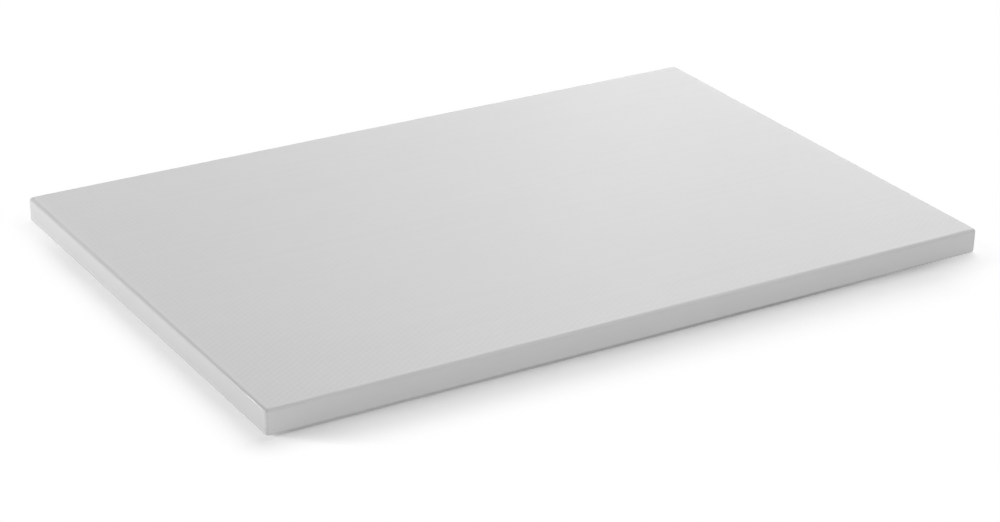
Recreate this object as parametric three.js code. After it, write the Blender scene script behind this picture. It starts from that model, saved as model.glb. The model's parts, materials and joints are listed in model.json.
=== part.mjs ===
// Reversible plastic cutting board: one solid slab of high-density polyethylene,
// sawn from sheet, with every rim rounded over and every upright corner eased.
//
// Units are millimetres. The board lies flat: X runs along its length, Y across its
// width and Z up, with the origin at the centre of the underside.

import * as THREE from "three";

// Overall size of the slab
const LENGTH = 600;
const WIDTH = 400;
const THICKNESS = 20;

// Round-over of the rims, alike on the top and the underside
const EDGE_RADIUS = 2.5;
// Easing of the four upright corners
const CORNER_RADIUS = 2;

// Straight steps in a quarter turn of the round-over, and of a corner
const EDGE_STEPS = 8;
const CORNER_STEPS = 8;

// Flat white polyethylene with a satin finish
const BOARD_COLOUR = 0xd9d9d9;
const BOARD_ROUGHNESS = 0.45;

/** Outline of a rectangle centred on the origin, with its corners rounded. */
function roundedRectangle(length, width, radius) {
  const x = length / 2 - radius;
  const y = width / 2 - radius;
  const quarter = Math.PI / 2;
  const outline = new THREE.Shape();
  outline.absarc(x, y, radius, 0, quarter);
  outline.absarc(-x, y, radius, quarter, 2 * quarter);
  outline.absarc(-x, -y, radius, 2 * quarter, 3 * quarter);
  outline.absarc(x, -y, radius, 3 * quarter, 4 * quarter);
  return outline;
}

/** Layers of the slab from the underside up: the height of each, and how far it is drawn in. */
function rimLayers() {
  const lower = [];
  for (let step = 0; step <= EDGE_STEPS; step += 1) {
    const angle = (Math.PI / 2) * (step / EDGE_STEPS);
    lower.push({
      height: EDGE_RADIUS * (1 - Math.cos(angle)),
      inset: EDGE_RADIUS * (1 - Math.sin(angle)),
    });
  }
  const upper = lower.map(({ height, inset }) => ({ height: THICKNESS - height, inset }));
  return [...lower, ...upper.reverse()];
}

/** The slab: its outline is swept up in layers, and each layer is set to the rim's round profile. */
function boardGeometry() {
  const layers = rimLayers();
  const slab = new THREE.ExtrudeGeometry(roundedRectangle(LENGTH, WIDTH, CORNER_RADIUS), {
    depth: layers.length - 1,
    steps: layers.length - 1,
    // An arc is cut into two steps for each of these segments
    curveSegments: CORNER_STEPS / 2,
    bevelEnabled: false,
  });
  const points = slab.attributes.position;
  for (let index = 0; index < points.count; index += 1) {
    const { height, inset } = layers[Math.round(points.getZ(index))];
    const x = points.getX(index) * (1 - (2 * inset) / LENGTH);
    const y = points.getY(index) * (1 - (2 * inset) / WIDTH);
    points.setXYZ(index, x, y, height);
  }
  slab.computeVertexNormals();
  return slab;
}

function makeBoard() {
  const plastic = new THREE.MeshStandardMaterial({
    name: "white_polyethylene",
    color: BOARD_COLOUR,
    roughness: BOARD_ROUGHNESS,
    metalness: 0,
  });
  const board = new THREE.Mesh(boardGeometry(), plastic);
  board.name = "board";
  return board;
}

const cuttingBoard = new THREE.Group();
cuttingBoard.name = "cutting_board";
cuttingBoard.add(makeBoard());

export default cuttingBoard;
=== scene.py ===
"""Plastic cutting board: the slab with its polyethylene finish, in a white studio."""

import json
import math
from typing import NamedTuple

import bmesh
import bpy
from bpy.props import FloatProperty, FloatVectorProperty, IntProperty, PointerProperty
from mathutils import Matrix, Vector


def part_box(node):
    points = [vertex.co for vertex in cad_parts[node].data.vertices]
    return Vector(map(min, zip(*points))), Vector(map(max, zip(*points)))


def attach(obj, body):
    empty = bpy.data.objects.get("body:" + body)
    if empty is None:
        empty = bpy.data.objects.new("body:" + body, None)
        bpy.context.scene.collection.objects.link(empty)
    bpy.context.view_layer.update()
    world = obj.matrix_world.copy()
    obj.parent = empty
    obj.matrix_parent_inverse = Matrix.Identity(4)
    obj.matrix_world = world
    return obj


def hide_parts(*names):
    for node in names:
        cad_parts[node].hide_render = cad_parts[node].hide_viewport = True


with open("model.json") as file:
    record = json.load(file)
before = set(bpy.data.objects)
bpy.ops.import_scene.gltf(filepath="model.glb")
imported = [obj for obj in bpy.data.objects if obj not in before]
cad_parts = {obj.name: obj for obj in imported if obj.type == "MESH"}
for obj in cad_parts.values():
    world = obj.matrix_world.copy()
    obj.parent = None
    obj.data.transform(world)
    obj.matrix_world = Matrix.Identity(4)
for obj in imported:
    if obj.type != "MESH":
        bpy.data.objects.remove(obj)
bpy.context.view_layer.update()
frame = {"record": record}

bl_info = {
    "name": "Plastic Cutting Board",
    "version": (1, 0, 0),
    "blender": (4, 5, 0),
    "location": "View3D > Sidebar > Cutting Board",
    "description": "Models a polyethylene cutting board and the white studio it is shown in",
    "category": "Add Mesh",
}

BODY = "root"
BOARD_NODE = "board"
PLASTIC_SLOT = "white_polyethylene"

BOARD_LOW, BOARD_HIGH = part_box(BOARD_NODE)
BOARD_HALF = (BOARD_HIGH - BOARD_LOW) / 2
PLASTIC = next(m for m in frame["record"]["materials"] if m["slot"] == PLASTIC_SLOT)

# Material slots of the slab
FACE_SLOT, EDGE_SLOT, RIM_SLOT = range(3)
# A side is flat where its normal keeps this close to an axis
FLAT = 0.9999
# Weight that leaves the flats' normals straight next to the rims
FLATS_WEIGHT = 100

# Refractive index of the plastic
PLASTIC_IOR = 1.5
# Octaves of finer noise in the clouds and in the grain
CLOUD_DETAIL = 2.0
GRAIN_DETAIL = 3.0
# A wave texture's bands repeat every this many metres at a scale of 1
WAVE_PERIOD = math.pi / 10

WHITE = (1.0, 1.0, 1.0, 1.0)
UNSTRETCHED = (1.0, 1.0, 1.0)


class Lamp(NamedTuple):
    """A disc lamp that faces the board: angles in degrees, the compass from +X to +Y, metres and watts."""

    name: str
    compass: float
    height_angle: float
    distance: float
    width: float
    power: float
    reflected: bool = True


LAMPS = (
    Lamp("lamp_over", 30, 60, 1.8, 1.6, 17.0),
    Lamp("lamp_right_low", 30, 20, 1.8, 0.8, 1.37),
    Lamp("lamp_back_right", 60, 35, 1.8, 0.8, 3.26),
    Lamp("lamp_back", 90, 35, 1.8, 0.8, 4.23),
    Lamp("lamp_left_back", 165, 6, 1.5, 0.3, 5.5, reflected=False),
    Lamp("lamp_left_front", 210, 6, 1.5, 0.3, 2.3, reflected=False),
    Lamp("lamp_left_side", 142, 6.3, 1.55, 0.1, 2.2, reflected=False),
    Lamp("lamp_front_low", 270, 10, 1.8, 0.45, 5.85, reflected=False),
    Lamp("lamp_front_right", 300, 30, 1.8, 0.8, 3.7),
    Lamp("lamp_back_near", 40, 20, 0.9, 0.5, 0.40),
)


class Lift(NamedTuple):
    """Painted light on the floor: where it gets paler along an axis, from a start to its full effect.

    The slant moves the start and the end by its share of the distance from the board.
    """

    axis: str
    start: float
    full: float
    slant: float = 0.0
    white: float = 0.0
    glow: float = 0.0
    contact_ease: float = 0.0


# Painted light that pales the seen floor and its shadow, makes the floor glow, and eases the painted contact
# shadow
LIFTS = (
    # All along the board, growing towards its left end
    Lift("X", 0.250, -0.250, white=0.10, glow=0.05),
    # Beyond the left end, in a narrow step and a wide one
    Lift("X", -0.291, -0.298, slant=-1.0, white=0.18, glow=0.09, contact_ease=0.0020),
    Lift("X", -0.277, -0.307, slant=-1.0, white=0.25, glow=0.12),
    # Towards the right end, where the painted contact shadow thins out first
    Lift("X", 0.100, 0.290, contact_ease=0.0025),
    Lift("X", 0.235, 0.335, white=0.65, glow=0.10),
    # Towards the back
    Lift("Y", 0.110, 0.190, white=0.30),
)


class BoardSettings(bpy.types.PropertyGroup):
    """Sizes and finish of the slab."""

    edge_radius: FloatProperty(
        name="Edge radius", description="Round-over of the rims",
        default=0.0025, min=0.0, unit="LENGTH", precision=4)
    corner_radius: FloatProperty(
        name="Corner radius", description="Easing of the four upright corners",
        default=0.002, min=0.0, unit="LENGTH", precision=4)
    edge_steps: IntProperty(
        name="Edge steps", description="Facets across a rim's quarter turn",
        default=12, min=1)
    corner_steps: IntProperty(
        name="Corner steps", description="Facets round an upright corner",
        default=10, min=1)
    colour: FloatVectorProperty(
        name="Colour", description="Colour of the polyethylene",
        default=PLASTIC["base_color"], size=3, min=0.0, max=1.0, subtype="COLOR")
    cloud_size: FloatProperty(
        name="Cloud size", description="Width of a cloudy patch",
        default=0.05, min=0.001, unit="LENGTH")
    cloud_tone: FloatProperty(
        name="Cloud tone", description="Change of tone from cloud to cloud",
        default=0.024, min=0.0, max=1.0, subtype="FACTOR")
    grain_size: FloatProperty(
        name="Grain size", description="Width of a speck of the fine grain",
        default=0.0007, min=0.0001, unit="LENGTH", precision=5)
    grain_depth: FloatProperty(
        name="Grain depth", description="Depth of the fine grain on the faces",
        default=0.000012, min=0.0, unit="LENGTH", precision=6)
    planing_width: FloatProperty(
        name="Planing width", description="Width of a planing line along the faces",
        default=0.0047, min=0.0001, unit="LENGTH", precision=4)
    planing_depth: FloatProperty(
        name="Planing depth", description="Depth of the planing lines",
        default=0.0002, min=0.0, unit="LENGTH", precision=6)
    planing_tone: FloatProperty(
        name="Planing tone", description="Change of tone from one planing line to the next",
        default=0.04, min=0.0, max=1.0, subtype="FACTOR")
    hatch_pitch: FloatProperty(
        name="Hatch pitch", description="Distance from one hatch ridge to the next",
        default=0.0042, min=0.0001, unit="LENGTH", precision=4)
    hatch_angles: FloatVectorProperty(
        name="Hatch angles", description="Angles of the two sets of hatch ridges to the board's width",
        default=(math.radians(-59), 0.0), size=2, unit="ROTATION")
    hatch_depth: FloatProperty(
        name="Hatch depth", description="Depth of each set of hatch ridges",
        default=0.00002, min=0.0, unit="LENGTH", precision=6)
    # Painted shade: the hatch's grooves are drawn darker in colour than its ridges
    hatch_groove_shade: FloatProperty(
        name="Hatch tone", description="How much darker a groove of the hatch is than a ridge",
        default=0.031, min=0.0, max=1.0, subtype="FACTOR")
    hatch_cross: FloatProperty(
        name="Hatch cross", description="Strength of the second set of ridges, as a share of the first",
        default=0.45, min=0.0, max=1.0, subtype="FACTOR")
    hatch_stray: FloatProperty(
        name="Hatch stray", description="How far the ridges stray from straight lines, in turns of a wave",
        default=0.3, min=0.0)
    hatch_patch: FloatProperty(
        name="Hatch patch", description="Width of a patch over which the ridges stray one way",
        default=0.03, min=0.001, unit="LENGTH")
    # The hatch fades towards one place of the faces; this is the share of it left there
    hatch_left: FloatProperty(
        name="Hatch left", description="Share of the hatch that is left where a face is worn most",
        default=0.25, min=0.0, max=1.0, subtype="FACTOR")
    # Middle of the place where the hatch is faintest, and where its fading starts to ease and where it ends,
    # in half boards
    hatch_faint_place: FloatVectorProperty(
        name="Worn place", description="Middle of the worn part of the faces",
        default=(0.12, 0.05, 0.0), size=3, subtype="TRANSLATION", unit="LENGTH")
    hatch_fade_reach: FloatVectorProperty(
        name="Worn reach", description="Where the wear starts to ease and where it ends, in half boards",
        default=(0.8, 1.8), size=2, min=0.0)
    streak_length: FloatProperty(
        name="Streak length", description="How many times longer than wide a cutter's streak is",
        default=60.0, min=1.0)
    streak_depth: FloatProperty(
        name="Streak depth", description="Depth of the cutter's streaks on the sawn edges",
        default=0.00001, min=0.0, unit="LENGTH", precision=6)
    face_roughness: FloatProperty(
        name="Face roughness", description="Roughness of the two hatched faces",
        default=0.40, min=0.0, max=1.0, subtype="FACTOR")
    edge_roughness: FloatProperty(
        name="Edge roughness", description="Roughness of the four sawn edges",
        default=0.35, min=0.0, max=1.0, subtype="FACTOR")
    rim_roughness: FloatProperty(
        name="Rim roughness", description="Roughness of the rounded rims and corners",
        default=0.20, min=0.0, max=1.0, subtype="FACTOR")
    roughness_spread: FloatProperty(
        name="Roughness spread", description="How far the roughness strays with the grain",
        default=0.04, min=0.0, max=1.0, subtype="FACTOR")


class StudioSettings(bpy.types.PropertyGroup):
    """Floor, light and camera."""

    floor_size: FloatProperty(
        name="Floor size", description="Half the floor's side",
        default=15.0, unit="LENGTH")
    floor_gap: FloatProperty(
        name="Floor gap", description="How far the floor lies below the underside",
        default=0.00005, unit="LENGTH", precision=6)
    floor_albedo: FloatProperty(
        name="Floor albedo", description="Grey level of the floor where it lights the board",
        default=0.8, min=0.0, max=1.0, subtype="FACTOR")
    floor_white: FloatProperty(
        name="Floor white", description="Grey level of the floor where it is seen",
        default=1.20, min=0.0)
    # Painted contact shadow on the seen floor
    contact_shade: FloatProperty(
        name="Contact shade", description="Share of the floor's white that is seen right at the board",
        default=0.62, min=0.0, max=1.0, subtype="FACTOR")
    contact_reach: FloatProperty(
        name="Contact reach", description="Distance from the board where the contact shade ends",
        default=0.0025, unit="LENGTH", precision=4)
    # Painted light: the floor gives off plain white light as though it were a lamp
    floor_glow: FloatProperty(
        name="Floor glow", description="Share of plain white in the light that the floor gives off",
        default=0.10, min=0.0, max=1.0, subtype="FACTOR")
    # Where painted light pales the floor, it also fades to white sooner
    lift_haste: FloatProperty(
        name="Lift haste", description="How much sooner a lifted floor fades to white",
        default=2.0, min=0.0)
    fade_start: FloatProperty(
        name="Fade start", description="Distance from the board where the floor starts to fade to white",
        default=0.006, unit="LENGTH", precision=4)
    fade_end: FloatProperty(
        name="Fade end", description="Distance from the board where the floor is white",
        default=0.064, unit="LENGTH")
    fill_level: FloatProperty(
        name="Fill level", description="Strength of the even light from all round",
        default=0.05, min=0.0)
    lamp_level: FloatProperty(
        name="Lamp level", description="Multiplies the power of every lamp",
        default=1.0, min=0.0)
    flag_place: FloatVectorProperty(
        name="Flag place", description="Middle of the grey flag that the left rim reflects",
        default=(-0.50, 1.0, 0.55), size=3, subtype="TRANSLATION", unit="LENGTH")
    flag_size: FloatProperty(
        name="Flag size", description="Half the flag's side",
        default=0.50, unit="LENGTH")
    flag_level: FloatProperty(
        name="Flag level", description="How light the flag's grey end is next to white",
        default=0.80, min=0.0, max=1.0, subtype="FACTOR")
    flag_fade: FloatVectorProperty(
        name="Flag fade", description="Where the flag starts to get lighter along X, and where it is white",
        default=(-0.75, -0.35), size=2, unit="LENGTH")
    strip_place: FloatVectorProperty(
        name="Strip place", description="Middle of the low strip lamp, below the level of the upper face",
        default=(-1.289, 0.805, 0.010), size=3, subtype="TRANSLATION", unit="LENGTH")
    strip_size: FloatVectorProperty(
        name="Strip size", description="Length and height of the strip lamp",
        default=(0.20, 0.014), size=2, min=0.001, unit="LENGTH")
    strip_power: FloatProperty(
        name="Strip power", description="Power of the strip lamp",
        default=6.5, min=0.0, unit="POWER")
    camera_place: FloatVectorProperty(
        name="Camera place", description="Where the camera stands",
        default=(-0.97701, -1.57439, 0.82930), size=3, subtype="TRANSLATION", unit="LENGTH")
    camera_aim: FloatVectorProperty(
        name="Camera aim", description="Point in the middle of the view",
        default=(-0.03454, -0.05663, 0.01), size=3, subtype="TRANSLATION", unit="LENGTH")
    camera_roll: FloatProperty(
        name="Camera roll", description="Turn of the camera about its line of sight",
        default=math.radians(1.185), subtype="ANGLE")
    camera_lens: FloatProperty(
        name="Lens", description="Focal length in millimetres",
        default=95.763, min=1.0)


def add_object(name, bm, materials):
    """Puts a finished bmesh into the scene, with its materials in slot order."""
    mesh = bpy.data.meshes.new(name)
    bm.to_mesh(mesh)
    bm.free()
    for material in materials:
        mesh.materials.append(material)
    piece = bpy.data.objects.new(name, mesh)
    bpy.context.scene.collection.objects.link(piece)
    return piece


def new_tree(name):
    """A material with an empty node tree and its output node."""
    material = bpy.data.materials.new(name)
    material.use_nodes = True
    nodes = material.node_tree.nodes
    nodes.clear()
    return material, nodes, material.node_tree.links, nodes.new("ShaderNodeOutputMaterial")


def feed(links, sockets, values):
    """Links each value that is an output to its socket, and sets the others."""
    for socket, value in zip(sockets, values):
        if isinstance(value, bpy.types.NodeSocket):
            links.new(value, socket)
        else:
            socket.default_value = value


def math_node(nodes, links, operation, *values):
    """A Math node on sockets or numbers; returns its output."""
    node = nodes.new("ShaderNodeMath")
    node.operation = operation
    feed(links, node.inputs, values)
    return node.outputs["Value"]


def weighted_sum(nodes, links, total, terms):
    """A number plus each socket times its weight; returns the output."""
    for socket, weight in terms:
        total = math_node(nodes, links, "MULTIPLY_ADD", socket, weight, total)
    return total


def vector_node(nodes, links, operation, *values):
    """A Vector Math node on sockets or vectors; returns the node."""
    node = nodes.new("ShaderNodeVectorMath")
    node.operation = operation
    feed(links, node.inputs, values)
    return node


def smooth_step(nodes, links, value, reach, ends):
    """Goes smoothly from one end to the other as the value crosses its reach; returns the output."""
    node = nodes.new("ShaderNodeMapRange")
    node.interpolation_type = "SMOOTHSTEP"
    node.inputs["From Min"].default_value, node.inputs["From Max"].default_value = reach
    node.inputs["To Min"].default_value, node.inputs["To Max"].default_value = ends
    links.new(value, node.inputs["Value"])
    return node.outputs["Result"]


def mix_shaders(nodes, links, share, first, second):
    """Mixes two shaders' outputs, with the share that the second takes; returns the output."""
    mix = nodes.new("ShaderNodeMixShader")
    feed(links, mix.inputs, (share, first, second))
    return mix.outputs["Shader"]


def seen_ray(nodes, links):
    """1 for the rays that look at a surface or reflect it, and 0 for those that carry its light."""
    path = nodes.new("ShaderNodeLightPath").outputs
    seen = math_node(nodes, links, "MAXIMUM", path["Is Camera Ray"], path["Is Glossy Ray"])
    return math_node(nodes, links, "MAXIMUM", seen, path["Is Transmission Ray"])


def grain_group():
    """Shader group of the plastic's cloudy tone and its fine grain, both from 0 to 1."""
    group = bpy.data.node_groups.new("polyethylene_grain", "ShaderNodeTree")
    group.interface.new_socket("Place", in_out="INPUT", socket_type="NodeSocketVector")
    group.interface.new_socket("Cloud size", in_out="INPUT", socket_type="NodeSocketFloat")
    group.interface.new_socket("Grain size", in_out="INPUT", socket_type="NodeSocketFloat")
    group.interface.new_socket("Stretch", in_out="INPUT", socket_type="NodeSocketVector")
    group.interface.new_socket("Cloud", in_out="OUTPUT", socket_type="NodeSocketFloat")
    group.interface.new_socket("Grain", in_out="OUTPUT", socket_type="NodeSocketFloat")
    nodes, links = group.nodes, group.links
    given = nodes.new("NodeGroupInput").outputs
    made = nodes.new("NodeGroupOutput").inputs

    cloud = nodes.new("ShaderNodeTexNoise")
    cloud.inputs["Detail"].default_value = CLOUD_DETAIL
    links.new(given["Place"], cloud.inputs["Vector"])
    links.new(math_node(nodes, links, "DIVIDE", 1.0, given["Cloud size"]), cloud.inputs["Scale"])

    grain = nodes.new("ShaderNodeTexNoise")
    grain.inputs["Detail"].default_value = GRAIN_DETAIL
    stretched = vector_node(nodes, links, "DIVIDE", given["Place"], given["Stretch"])
    links.new(stretched.outputs["Vector"], grain.inputs["Vector"])
    links.new(math_node(nodes, links, "DIVIDE", 1.0, given["Grain size"]), grain.inputs["Scale"])

    links.new(cloud.outputs["Fac"], made["Cloud"])
    links.new(grain.outputs["Fac"], made["Grain"])
    return group


def grain_node(nodes, links, group, place, cloud_size, grain_size, stretch):
    """The grain group at the given sizes, with its grain drawn out by the stretch."""
    node = nodes.new("ShaderNodeGroup")
    node.node_tree = group
    node.inputs["Cloud size"].default_value = cloud_size
    node.inputs["Grain size"].default_value = grain_size
    node.inputs["Stretch"].default_value = stretch
    links.new(place, node.inputs["Place"])
    return node


def finish_plastic(tree, output, settings, roughness, shade, speck, height):
    """Shades the polyethylene: the share of its colour, a speck that varies its roughness, and its relief."""
    nodes, links = tree.nodes, tree.links
    colour = nodes.new("ShaderNodeVectorMath")
    colour.operation = "SCALE"
    colour.inputs["Vector"].default_value = settings.colour
    links.new(shade, colour.inputs["Scale"])

    gloss = nodes.new("ShaderNodeMapRange")
    gloss.inputs["To Min"].default_value = roughness - settings.roughness_spread
    gloss.inputs["To Max"].default_value = roughness + settings.roughness_spread
    links.new(speck, gloss.inputs["Value"])

    # The relief is in metres
    bump = nodes.new("ShaderNodeBump")
    bump.inputs["Distance"].default_value = 1.0
    links.new(height, bump.inputs["Height"])

    shader = nodes.new("ShaderNodeBsdfPrincipled")
    shader.inputs["IOR"].default_value = PLASTIC_IOR
    links.new(colour.outputs["Vector"], shader.inputs["Base Color"])
    links.new(gloss.outputs["Result"], shader.inputs["Roughness"])
    links.new(bump.outputs["Normal"], shader.inputs["Normal"])
    links.new(shader.outputs["BSDF"], output.inputs["Surface"])


def hatch_fade_share(nodes, links, place, settings):
    """How much of the hatch is left: a share at the place where it is faintest, and all of it far from there.
    """
    away = vector_node(nodes, links, "SUBTRACT", place, settings.hatch_faint_place).outputs["Vector"]
    in_halves = (1 / BOARD_HALF.x, 1 / BOARD_HALF.y, 0.0)
    level = vector_node(nodes, links, "MULTIPLY", away, in_halves).outputs["Vector"]
    distance = vector_node(nodes, links, "LENGTH", level).outputs["Value"]
    return smooth_step(nodes, links, distance, settings.hatch_fade_reach, (settings.hatch_left, 1.0))


def crossed_ridges(nodes, links, place, settings):
    """The hatch's relief about its middle: two crossing sets of ridges, the first 1 high, less near the place
    where the hatch is faintest.
    """
    scale = WAVE_PERIOD / settings.hatch_pitch
    total = -(1 + settings.hatch_cross) / 2
    for angle, share in zip(settings.hatch_angles, (1.0, settings.hatch_cross)):
        turn = nodes.new("ShaderNodeMapping")
        turn.inputs["Rotation"].default_value[2] = -angle
        links.new(place, turn.inputs["Vector"])
        wave = nodes.new("ShaderNodeTexWave")
        wave.inputs["Scale"].default_value = scale
        wave.inputs["Distortion"].default_value = 2 * math.pi * settings.hatch_stray
        wave.inputs["Detail"].default_value = 0.0
        wave.inputs["Detail Scale"].default_value = 1 / (settings.hatch_patch * scale)
        links.new(turn.outputs["Vector"], wave.inputs["Vector"])
        total = math_node(nodes, links, "MULTIPLY_ADD", wave.outputs["Fac"], share, total)
    left = hatch_fade_share(nodes, links, place, settings)
    return math_node(nodes, links, "MULTIPLY", total, left)


def hatched_face(group, settings):
    """The cutting faces: crossing ridges over planing lines and a fine grain, with painted shade in the
    hatch's grooves.
    """
    material, nodes, links, output = new_tree("hatched_face")
    place = nodes.new("ShaderNodeTexCoord").outputs["Object"]
    plastic = grain_node(nodes, links, group, place, settings.cloud_size, settings.grain_size, UNSTRETCHED)
    planing = grain_node(
        nodes, links, group, place, settings.cloud_size, settings.planing_width,
        (settings.streak_length, 1.0, 1.0))
    hatch = crossed_ridges(nodes, links, place, settings)
    # Share of the colour: random clouds, planing lines, and painted shade that darkens the hatch's grooves
    shade = weighted_sum(nodes, links, 1 - (settings.cloud_tone + settings.planing_tone) / 2, (
        (plastic.outputs["Cloud"], settings.cloud_tone),
        (planing.outputs["Grain"], settings.planing_tone),
        (hatch, settings.hatch_groove_shade)))
    height = weighted_sum(nodes, links, 0.0, (
        (plastic.outputs["Grain"], settings.grain_depth),
        (planing.outputs["Grain"], settings.planing_depth),
        (hatch, settings.hatch_depth)))
    speck = plastic.outputs["Grain"]
    finish_plastic(material.node_tree, output, settings, settings.face_roughness, shade, speck, height)
    return material


def milled_edge(name, group, settings, roughness):
    """A rim or a sawn edge: smooth, with streaks that run along it."""
    material, nodes, links, output = new_tree(name)
    place = nodes.new("ShaderNodeTexCoord").outputs["Object"]
    plastic = grain_node(
        nodes, links, group, place, settings.cloud_size, settings.grain_size,
        (settings.streak_length, settings.streak_length, 1.0))
    streak = plastic.outputs["Grain"]
    shade = weighted_sum(
        nodes, links, 1 - settings.cloud_tone / 2, ((plastic.outputs["Cloud"], settings.cloud_tone),))
    height = math_node(nodes, links, "MULTIPLY", streak, settings.streak_depth)
    finish_plastic(material.node_tree, output, settings, roughness, shade, streak, height)
    return material


def round_rim(bm, face, radius, steps):
    """Rounds the rim of a level face: it is drawn in along a quarter circle, a step at a time."""
    outward = face.normal.copy()
    full = [2 * max(abs(v.co[axis]) for v in face.verts) for axis in (0, 1)]
    rise = inset = 0.0
    for step in range(1, steps + 1):
        angle = math.pi / 2 * step / steps
        next_rise, next_inset = radius * math.sin(angle), radius * (1 - math.cos(angle))
        face = bmesh.ops.extrude_discrete_faces(bm, faces=[face])["faces"][0]
        bmesh.ops.translate(bm, verts=face.verts, vec=outward * (next_rise - rise))
        shrink = [(size - 2 * next_inset) / (size - 2 * inset) for size in full]
        bmesh.ops.scale(bm, verts=face.verts, vec=(*shrink, 1.0))
        rise, inset = next_rise, next_inset
    return face


def model_board(settings):
    """The slab as a bmesh: a block with eased corners, and a round-over on each rim."""
    size = BOARD_HIGH - BOARD_LOW
    centre = (BOARD_HIGH + BOARD_LOW) / 2
    bm = bmesh.new()
    bmesh.ops.create_cube(bm, size=1.0)
    bmesh.ops.scale(bm, verts=bm.verts, vec=(size.x, size.y, size.z - 2 * settings.edge_radius))
    upright = [e for e in bm.edges if abs(e.verts[0].co.z - e.verts[1].co.z) > 0]
    bmesh.ops.bevel(
        bm, geom=upright, offset=settings.corner_radius, offset_type="OFFSET", affect="EDGES",
        segments=settings.corner_steps, profile=0.5, material=-1)
    level = [f for f in bm.faces if abs(f.normal.z) > FLAT]
    faces = [round_rim(bm, f, settings.edge_radius, settings.edge_steps) for f in level]
    bmesh.ops.translate(bm, verts=bm.verts, vec=centre)
    for face in bm.faces:
        face.smooth = True
        if face in faces:
            face.material_index = FACE_SLOT
        elif max(abs(face.normal.x), abs(face.normal.y)) > FLAT:
            face.material_index = EDGE_SLOT
        else:
            face.material_index = RIM_SLOT
    return bm


def white_floor(settings):
    """Pale floor that keeps the board's shadow and fades to white away from it, with a painted contact shadow
    at the board and painted light that pales it in places.
    """
    material, nodes, links, output = new_tree("white_floor")
    lit = nodes.new("ShaderNodeBsdfDiffuse")
    lit.inputs["Color"].default_value = (*[settings.floor_albedo] * 3, 1.0)
    near = nodes.new("ShaderNodeBsdfDiffuse")
    white = nodes.new("ShaderNodeEmission").outputs["Emission"]

    # Distance from the board's outline
    place = nodes.new("ShaderNodeTexCoord").outputs["Object"]
    folded = vector_node(nodes, links, "ABSOLUTE", place).outputs["Vector"]
    outline = (BOARD_HALF.x, BOARD_HALF.y, 0.0)
    beyond = vector_node(nodes, links, "SUBTRACT", folded, outline).outputs["Vector"]
    outside = vector_node(nodes, links, "MAXIMUM", beyond, (0.0, 0.0, 0.0)).outputs["Vector"]
    distance = vector_node(nodes, links, "LENGTH", outside).outputs["Value"]

    # The lifts are painted light: they add plain white to what is seen and to the light given off, and ease
    # the painted contact shadow
    split = nodes.new("ShaderNodeSeparateXYZ")
    links.new(place, split.inputs["Vector"])
    lifted, glow, apart = 0.0, settings.floor_glow, distance
    for lift in LIFTS:
        along = math_node(nodes, links, "MULTIPLY_ADD", distance, lift.slant, split.outputs[lift.axis])
        ramp = smooth_step(nodes, links, along, (lift.start, lift.full), (0.0, 1.0))
        lifted = math_node(nodes, links, "MULTIPLY_ADD", ramp, lift.white, lifted)
        glow = math_node(nodes, links, "MULTIPLY_ADD", ramp, lift.glow, glow)
        apart = math_node(nodes, links, "MULTIPLY_ADD", ramp, lift.contact_ease, apart)
    # Painted contact shadow: the seen floor is drawn darker right at the board
    contact = smooth_step(
        nodes, links, apart, (0.0, settings.contact_reach),
        (settings.floor_white * settings.contact_shade, settings.floor_white))
    links.new(contact, near.inputs["Color"])

    # The floor turns white with the distance, sooner where painted light has lifted it
    haste = math_node(nodes, links, "MULTIPLY_ADD", lifted, settings.lift_haste, 1.0)
    hastened = math_node(nodes, links, "MULTIPLY", distance, haste)
    fade = smooth_step(nodes, links, hastened, (settings.fade_start, settings.fade_end), (0.0, 1.0))
    rest = math_node(nodes, links, "SUBTRACT", 1.0, lifted)
    pale = math_node(nodes, links, "MULTIPLY_ADD", fade, rest, lifted)

    shown = mix_shaders(nodes, links, pale, near.outputs["BSDF"], white)
    # Painted glow: the floor gives off plain white light besides what it reflects
    carried = mix_shaders(nodes, links, glow, lit.outputs["BSDF"], white)
    floor = mix_shaders(nodes, links, seen_ray(nodes, links), carried, shown)
    links.new(floor, output.inputs["Surface"])
    return material


def add_floor(settings):
    """The floor that the board lies on."""
    bm = bmesh.new()
    bmesh.ops.create_grid(bm, x_segments=1, y_segments=1, size=settings.floor_size)
    bmesh.ops.translate(bm, verts=bm.verts, vec=(0.0, 0.0, BOARD_LOW.z - settings.floor_gap))
    add_object("studio_floor", bm, [white_floor(settings)])


def add_flag(settings):
    """A pale flag behind the board's left, grey to white, that only reflections see.

    It hides the back lamp from the left rim, which shows as a dark line against the upper face.
    """
    material, nodes, links, output = new_tree("grey_flag")
    split = nodes.new("ShaderNodeSeparateXYZ")
    links.new(nodes.new("ShaderNodeTexCoord").outputs["Object"], split.inputs["Vector"])
    level = smooth_step(nodes, links, split.outputs["X"], settings.flag_fade, (settings.flag_level, 1.0))
    grey = nodes.new("ShaderNodeEmission")
    links.new(level, grey.inputs["Strength"])
    links.new(grey.outputs["Emission"], output.inputs["Surface"])

    place = Vector(settings.flag_place)
    bm = bmesh.new()
    bmesh.ops.create_grid(bm, x_segments=1, y_segments=1, size=settings.flag_size)
    bmesh.ops.rotate(bm, verts=bm.verts, matrix=place.to_track_quat("Z", "Y").to_matrix())
    bmesh.ops.translate(bm, verts=bm.verts, vec=place)
    flag = add_object("grey_flag", bm, [material])
    flag.visible_camera = flag.visible_diffuse = False
    flag.visible_transmission = flag.visible_shadow = False


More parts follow.
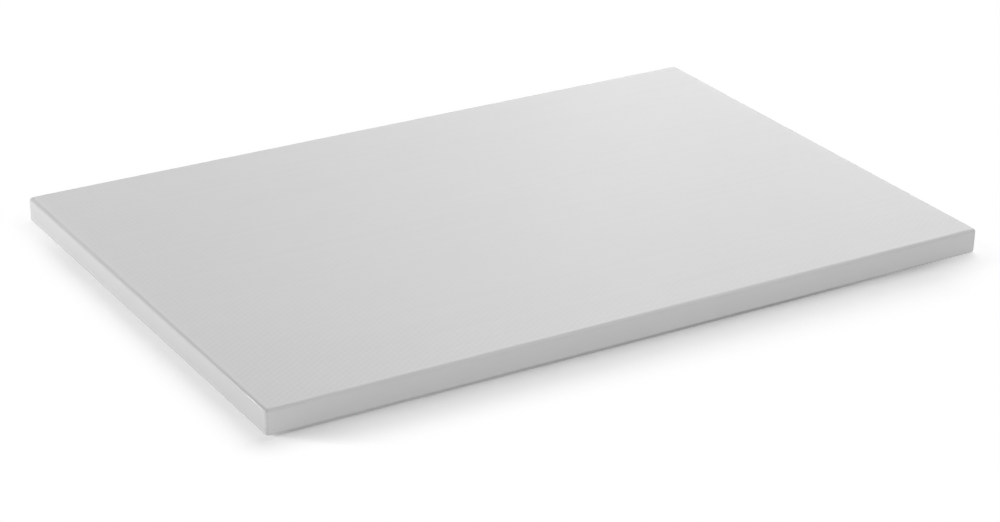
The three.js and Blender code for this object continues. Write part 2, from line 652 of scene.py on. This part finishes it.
def add_world(settings):
    """White all round to look at, and an even fill to light the board."""
    world = bpy.data.worlds.new("studio_world")
    world.use_nodes = True
    nodes, links = world.node_tree.nodes, world.node_tree.links
    nodes.clear()
    fill = nodes.new("ShaderNodeBackground")
    white = nodes.new("ShaderNodeBackground")
    for background, strength in ((fill, settings.fill_level), (white, 1.0)):
        background.inputs["Color"].default_value = WHITE
        background.inputs["Strength"].default_value = strength
    all_round = mix_shaders(
        nodes, links, seen_ray(nodes, links), fill.outputs["Background"], white.outputs["Background"])
    links.new(all_round, nodes.new("ShaderNodeOutputWorld").inputs["Surface"])
    bpy.context.scene.world = world


def aim(place, target):
    """The turn and place of a lamp or camera that looks from its place to the target."""
    sight = (target - place).to_track_quat("-Z", "Y").to_matrix().to_4x4()
    return Matrix.Translation(place) @ sight


def hang_lamp(name, light, place):
    """Puts a lamp in its place, turned to the origin and hidden from the camera."""
    head = bpy.data.objects.new(name, light)
    head.visible_camera = False
    head.matrix_world = aim(place, Vector())
    bpy.context.scene.collection.objects.link(head)
    return head


def add_lamp(lamp, lamp_level):
    """A disc lamp at its compass and height angles."""
    light = bpy.data.lights.new(lamp.name, "AREA")
    light.shape = "DISK"
    light.size = lamp.width
    light.energy = lamp.power * lamp_level
    compass, height_angle = math.radians(lamp.compass), math.radians(lamp.height_angle)
    reach = lamp.distance * math.cos(height_angle)
    place = Vector((
        reach * math.cos(compass), reach * math.sin(compass), lamp.distance * math.sin(height_angle)))
    hang_lamp(lamp.name, light, place).visible_glossy = lamp.reflected


def add_strip(settings):
    """A low strip lamp behind the board's left that only reflections see: it draws the left rim's glint."""
    light = bpy.data.lights.new("lamp_strip", "AREA")
    light.shape = "RECTANGLE"
    light.size, light.size_y = settings.strip_size
    light.energy = settings.strip_power * settings.lamp_level
    hang_lamp("lamp_strip", light, Vector(settings.strip_place)).visible_diffuse = False


def add_camera(settings):
    """The camera, at the view that the board is shown from."""
    data = bpy.data.cameras.new("studio_camera")
    data.lens = settings.camera_lens
    camera = bpy.data.objects.new("studio_camera", data)
    sight = aim(Vector(settings.camera_place), Vector(settings.camera_aim))
    camera.matrix_world = sight @ Matrix.Rotation(settings.camera_roll, 4, "Z")
    bpy.context.scene.collection.objects.link(camera)
    bpy.context.scene.camera = camera


class CUTTING_BOARD_OT_add_board(bpy.types.Operator):
    """Model the slab in the place of its CAD node and give it its finish"""

    bl_idname = "cutting_board.add_board"
    bl_label = "Add Board"
    bl_options = {"REGISTER", "UNDO"}

    def execute(self, context):
        settings = context.scene.cutting_board
        grain = grain_group()
        finishes = [
            hatched_face(grain, settings),
            milled_edge("sawn_edge", grain, settings, settings.edge_roughness),
            milled_edge("rounded_rim", grain, settings, settings.rim_roughness),
        ]
        slab = add_object("slab", model_board(settings), finishes)
        flats = slab.modifiers.new("keep_flats_flat", "WEIGHTED_NORMAL")
        flats.weight = FLATS_WEIGHT
        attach(slab, BODY)
        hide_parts(BOARD_NODE)
        return {"FINISHED"}


class CUTTING_BOARD_OT_add_studio(bpy.types.Operator):
    """Set up the floor, the light and the camera"""

    bl_idname = "cutting_board.add_studio"
    bl_label = "Add Studio"
    bl_options = {"REGISTER", "UNDO"}

    def execute(self, context):
        settings = context.scene.cutting_board_studio
        add_floor(settings)
        add_flag(settings)
        add_world(settings)
        for lamp in LAMPS:
            add_lamp(lamp, settings.lamp_level)
        add_strip(settings)
        add_camera(settings)
        context.scene.view_settings.view_transform = "Standard"
        return {"FINISHED"}


class CUTTING_BOARD_PT_panel(bpy.types.Panel):
    """Sizes and finish of the cutting board, and its studio"""

    bl_label = "Cutting Board"
    bl_idname = "CUTTING_BOARD_PT_panel"
    bl_space_type = "VIEW_3D"
    bl_region_type = "UI"
    bl_category = "Cutting Board"

    def draw(self, context):
        for settings, operator in (
            (context.scene.cutting_board, CUTTING_BOARD_OT_add_board),
            (context.scene.cutting_board_studio, CUTTING_BOARD_OT_add_studio),
        ):
            box = self.layout.box()
            for name in settings.__annotations__:
                box.prop(settings, name)
            box.operator(operator.bl_idname)


CLASSES = (
    BoardSettings,
    StudioSettings,
    CUTTING_BOARD_OT_add_board,
    CUTTING_BOARD_OT_add_studio,
    CUTTING_BOARD_PT_panel,
)


def register():
    for item in CLASSES:
        bpy.utils.register_class(item)
    bpy.types.Scene.cutting_board = PointerProperty(type=BoardSettings)
    bpy.types.Scene.cutting_board_studio = PointerProperty(type=StudioSettings)


def unregister():
    del bpy.types.Scene.cutting_board_studio
    del bpy.types.Scene.cutting_board
    for item in reversed(CLASSES):
        bpy.utils.unregister_class(item)


def main():
    register()
    bpy.ops.cutting_board.add_board()
    bpy.ops.cutting_board.add_studio()


if __name__ == "__main__":
    main()
